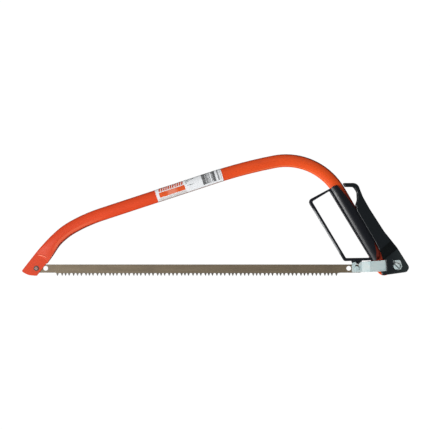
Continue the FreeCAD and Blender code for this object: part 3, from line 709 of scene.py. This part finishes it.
ZINC_PLATED = (
    "lever_pivot_rivet",
    "blade_rear_stud",
    "tension_link",
    "lever_pivot_bush",
    "link_bush",
    "link_nut",
)


def paint(node_name, made):
    slots = nodes[node_name].data.materials
    slots.clear()
    slots.append(made)


def paint_everything():
    grip = moulded_plastic(
        "black_plastic", GRIP_DARK, GRIP_LIGHT, roughness=0.30, specular=0.5, marked=guard_highlight
    )
    lever = moulded_plastic(
        "lever_plastic", LEVER_DARK, LEVER_LIGHT, roughness=0.32, specular=0.3, marked=lever_marks
    )
    zinc = zinc_plate()
    paint("frame_tube", orange_enamel())
    paint("grip_and_guard", grip)
    paint("tension_lever", lever)
    paint("saw_blade", blade_steel())
    paint("label", label_print())
    paint("pin_retaining_ring", spring_steel())
    paint("front_blade_pin", pin_steel())
    for name in ZINC_PLATED:
        paint(name, zinc)
    screw_low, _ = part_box("link_screw")
    paint("link_screw", zinc_plate("zinc_slotted", slot_depth=abs(screw_low.y) - SLOT_SHADE))


# ---------------------------------------------------------------- creases

# One lies across each face of the pressed front end

CREASE_START = Vector((-0.5317, 0.0, -0.0480))
CREASE_END = Vector((-0.5165, 0.0, -0.0522))
CREASE_RISE = 0.0009             # how far its middle bows upward
CREASE_RADIUS = 0.0009
CREASE_TIP = 0.50                # the radius at its two ends, as a share
CREASE_POINTS = 9
CREASE_PROUD = 0.0002            # its middle line above the tube's face
OUTSIDE = 0.05                   # from the saw's middle plane, clear of every part


def crease_line(side):
    """Points on the tube's face, bowed upward, between the crease's two ends."""
    tube = nodes["frame_tube"]
    points = []
    for index in range(CREASE_POINTS):
        share = index / (CREASE_POINTS - 1)
        level = CREASE_START.lerp(CREASE_END, share)
        level.z += CREASE_RISE * math.sin(math.pi * share)
        level.y = side * OUTSIDE
        hit, point, _, _ = tube.ray_cast(level, Vector((0.0, -side, 0.0)))
        if hit:
            points.append(point + Vector((0.0, side * CREASE_PROUD, 0.0)))
    return points


def make_crease(name, side, made):
    """A low pressed ridge that dies away at both ends."""
    points = crease_line(side)
    data = bpy.data.curves.new(name, "CURVE")
    data.dimensions = "3D"
    data.bevel_depth = CREASE_RADIUS
    data.bevel_resolution = 3
    data.use_fill_caps = True
    spline = data.splines.new("NURBS")
    spline.points.add(len(points) - 1)
    for index, point in enumerate(points):
        swell = math.sin(math.pi * index / (len(points) - 1))
        spline.points[index].co = (*point, 1.0)
        spline.points[index].radius = CREASE_TIP + (1.0 - CREASE_TIP) * swell
    spline.order_u = 3
    spline.use_endpoint_u = True
    ridge = bpy.data.objects.new(name, data)
    bpy.context.scene.collection.objects.link(ridge)
    data.materials.append(made)
    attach(ridge, "frame")


def make_creases():
    enamel = crease_highlight_enamel()
    for name, side in (("crease_near", -1), ("crease_far", 1)):
        make_crease(name, side, enamel)


# ---------------------------------------------------------------- stage

FLOOR_DROP = 0.90                # floor below the saw's lowest point
FLOOR_RADIUS = 6.0
FLOOR_SIDES = 96
FLOOR_GREY = (0.05, 0.05, 0.05, 1.0)
SEEN_WHITE = 1.02                # strength of the floor and the world as the camera sees them
FLOOR_BOUNCE = 0.09              # and as they light the saw
WORLD_SIDES = 0.16
WORLD_FACING = 0.05              # straight before and behind the saw
WORLD_FADE = (0.3, 0.95)         # from the sides to there, by a direction's part along Y


def white_when_seen(tree, lighting):
    """A strength that is white to the camera, and something else as light."""
    seen = node(tree, "ShaderNodeLightPath").outputs["Is Camera Ray"]
    level = node(tree, "ShaderNodeMix", data_type="FLOAT")
    feed(tree, level.inputs["Factor"], seen)
    feed(tree, level.inputs["A"], lighting)
    level.inputs["B"].default_value = SEEN_WHITE
    return level.outputs["Result"]


def make_floor():
    """A round, plain white table well below the saw."""
    level = cad_low.z - FLOOR_DROP
    bpy.ops.mesh.primitive_circle_add(
        vertices=FLOOR_SIDES, radius=FLOOR_RADIUS, fill_type="NGON", location=(cad_centre.x, 0, level)
    )
    floor = bpy.context.object
    floor.name = "floor"
    made, tree, shader = material("floor_white")
    shader.inputs["Base Color"].default_value = FLOOR_GREY
    shader.inputs["Roughness"].default_value = 0.9
    shader.inputs["Specular IOR Level"].default_value = 0.0
    shader.inputs["Emission Color"].default_value = WHITE
    feed(tree, shader.inputs["Emission Strength"], white_when_seen(tree, FLOOR_BOUNCE))
    floor.data.materials.append(made)


def make_world():
    """White to the camera; to the saw, dim before and behind it, and brighter at the sides."""
    world = bpy.data.worlds.new("studio")
    bpy.context.scene.world = world
    world.use_nodes = True
    tree = world.node_tree
    tree.nodes.clear()
    _, y, _ = axes_of(tree, node(tree, "ShaderNodeTexCoord").outputs["Generated"])
    around = remap(tree, maths(tree, "ABSOLUTE", y), *WORLD_FADE, WORLD_SIDES, WORLD_FACING)
    background = node(tree, "ShaderNodeBackground", Color=WHITE)
    feed(tree, background.inputs["Strength"], white_when_seen(tree, around))
    output = node(tree, "ShaderNodeOutputWorld")
    feed(tree, output.inputs["Surface"], background.outputs[0])


# ---------------------------------------------------------------- light and camera

REAR_SHARE = 0.7                 # of the front softboxes' power
PICTURE_WIDTH = 0.7112           # what the picture spans at the saw's middle plane
VIEW_SHIFT = -0.0004             # of the camera from the saw's middle, along the saw
LENS = 150.0
SENSOR = 36.0


def make_light(name, offset, size, power):
    """A square softbox that faces the middle of the saw."""
    data = bpy.data.lights.new(name, "AREA")
    data.shape = "SQUARE"
    data.size = size
    data.energy = power
    light = bpy.data.objects.new(name, data)
    bpy.context.scene.collection.objects.link(light)
    light.location = cad_centre + Vector(offset)
    light.rotation_mode = "QUATERNION"
    light.rotation_quaternion = (-Vector(offset)).to_track_quat("-Z", "Y")
    light.visible_camera = False


def make_lights():
    """The same four softboxes before and behind the saw; at the rear, all but the high one are weaker."""
    for side, name, share in ((-1, "front", 1.0), (1, "rear", REAR_SHARE)):
        make_light(name + "_key", offset=(-1.15, side * 1.30, -0.42), size=0.50, power=29.0 * share)
        make_light(name + "_left", offset=(-1.20, side * 0.50, -0.70), size=0.60, power=3.5 * share)
        make_light(name + "_low", offset=(0.75, side * 0.60, -0.80), size=0.30, power=3.0 * share)
        make_light(name + "_high", offset=(0.30, side * 1.50, 1.00), size=1.00, power=3.0)


def make_camera():
    data = bpy.data.cameras.new("camera")
    data.lens = LENS
    data.sensor_width = SENSOR
    camera = bpy.data.objects.new("camera", data)
    bpy.context.scene.collection.objects.link(camera)
    away = PICTURE_WIDTH * LENS / SENSOR
    camera.location = Vector((cad_centre.x + VIEW_SHIFT, cad_centre.y - away, cad_centre.z))
    camera.rotation_euler = (math.radians(90), 0, 0)
    bpy.context.scene.camera = camera


# ---------------------------------------------------------------- the scene

paint_everything()
make_creases()
make_floor()
make_world()
make_lights()
make_camera()
bpy.context.scene.view_settings.view_transform = "Standard"
